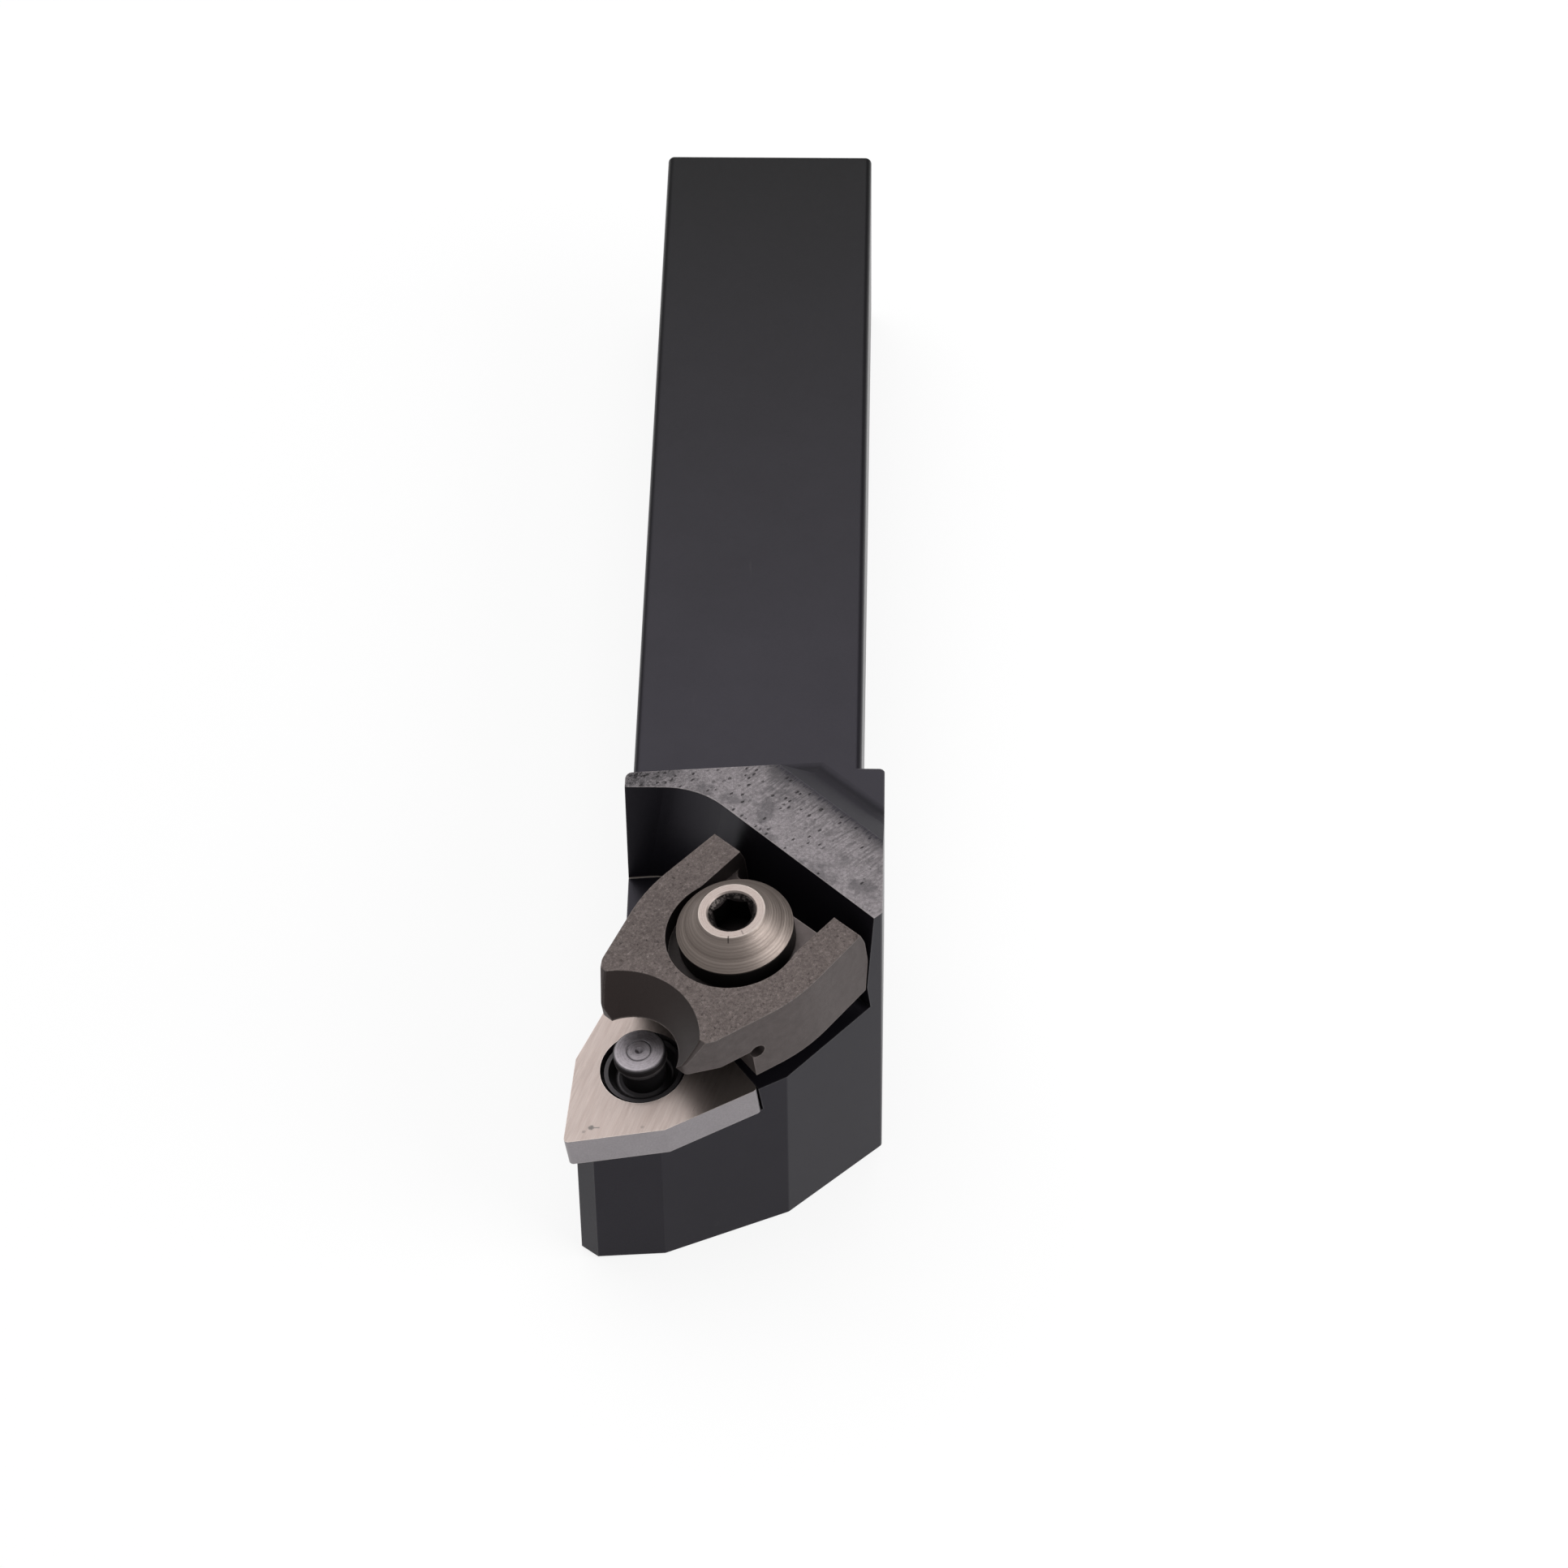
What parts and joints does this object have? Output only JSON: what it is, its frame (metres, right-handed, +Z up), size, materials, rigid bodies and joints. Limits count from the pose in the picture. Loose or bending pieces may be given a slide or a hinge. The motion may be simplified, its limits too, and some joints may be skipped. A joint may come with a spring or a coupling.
{
  "type": "turning tool holder",
  "caption": "Square-shank turning tool holder with an offset head, a trigon insert seat on a pinned shim, and a screwed wedge clamp.",
  "frame": {"origin": "bottom face of the shank, on its centreline, at the middle of the length the machine grips", "axes": "+Z up, square to the base; Y along the shank with the head at -Y; the cutting corner points to -X and -Y"},
  "size_m": [0.0264, 0.1244, 0.03],
  "materials": {
    "black_steel": "black oxide",
    "shim_carbide": "ground",
    "pin_steel": "turned",
    "clamp_steel": "dull",
    "screw_steel": "turned",
    "spring_steel": "plain"
  },
  "bodies": {
    "holder": {"holder_body": "black_steel", "shim": "shim_carbide", "shim_pin": "pin_steel"},
    "ring": {"retaining_ring": "spring_steel"},
    "screw": {"clamp_screw": "screw_steel"},
    "clamp": {"wedge_clamp": "clamp_steel"}
  },
  "joints": [
    {"name": "screw_rise", "type": "slide", "parent": "holder", "child": "ring", "axis": [-0.104, -0.104, 0.9891], "range_m": [-0.0015, 0.004]},
    {"name": "screw_turn", "type": "hinge", "parent": "ring", "child": "screw", "pos_m": [0.00066, -0.06755, 0.01841], "axis": [-0.104, -0.104, 0.9891], "range_deg": [-540, 1440]},
    {"name": "clamp_back", "type": "slide", "parent": "ring", "child": "clamp", "axis": [0.6994, 0.6994, 0.1471], "range_m": [-0.00037, 0.001]}
  ],
  "couplings": [
    {"joint": "screw_turn", "follows": "screw_rise", "rad_per_m": 6283.2},
    {"joint": "clamp_back", "follows": "screw_rise", "ratio": 0.24933}
  ]
}
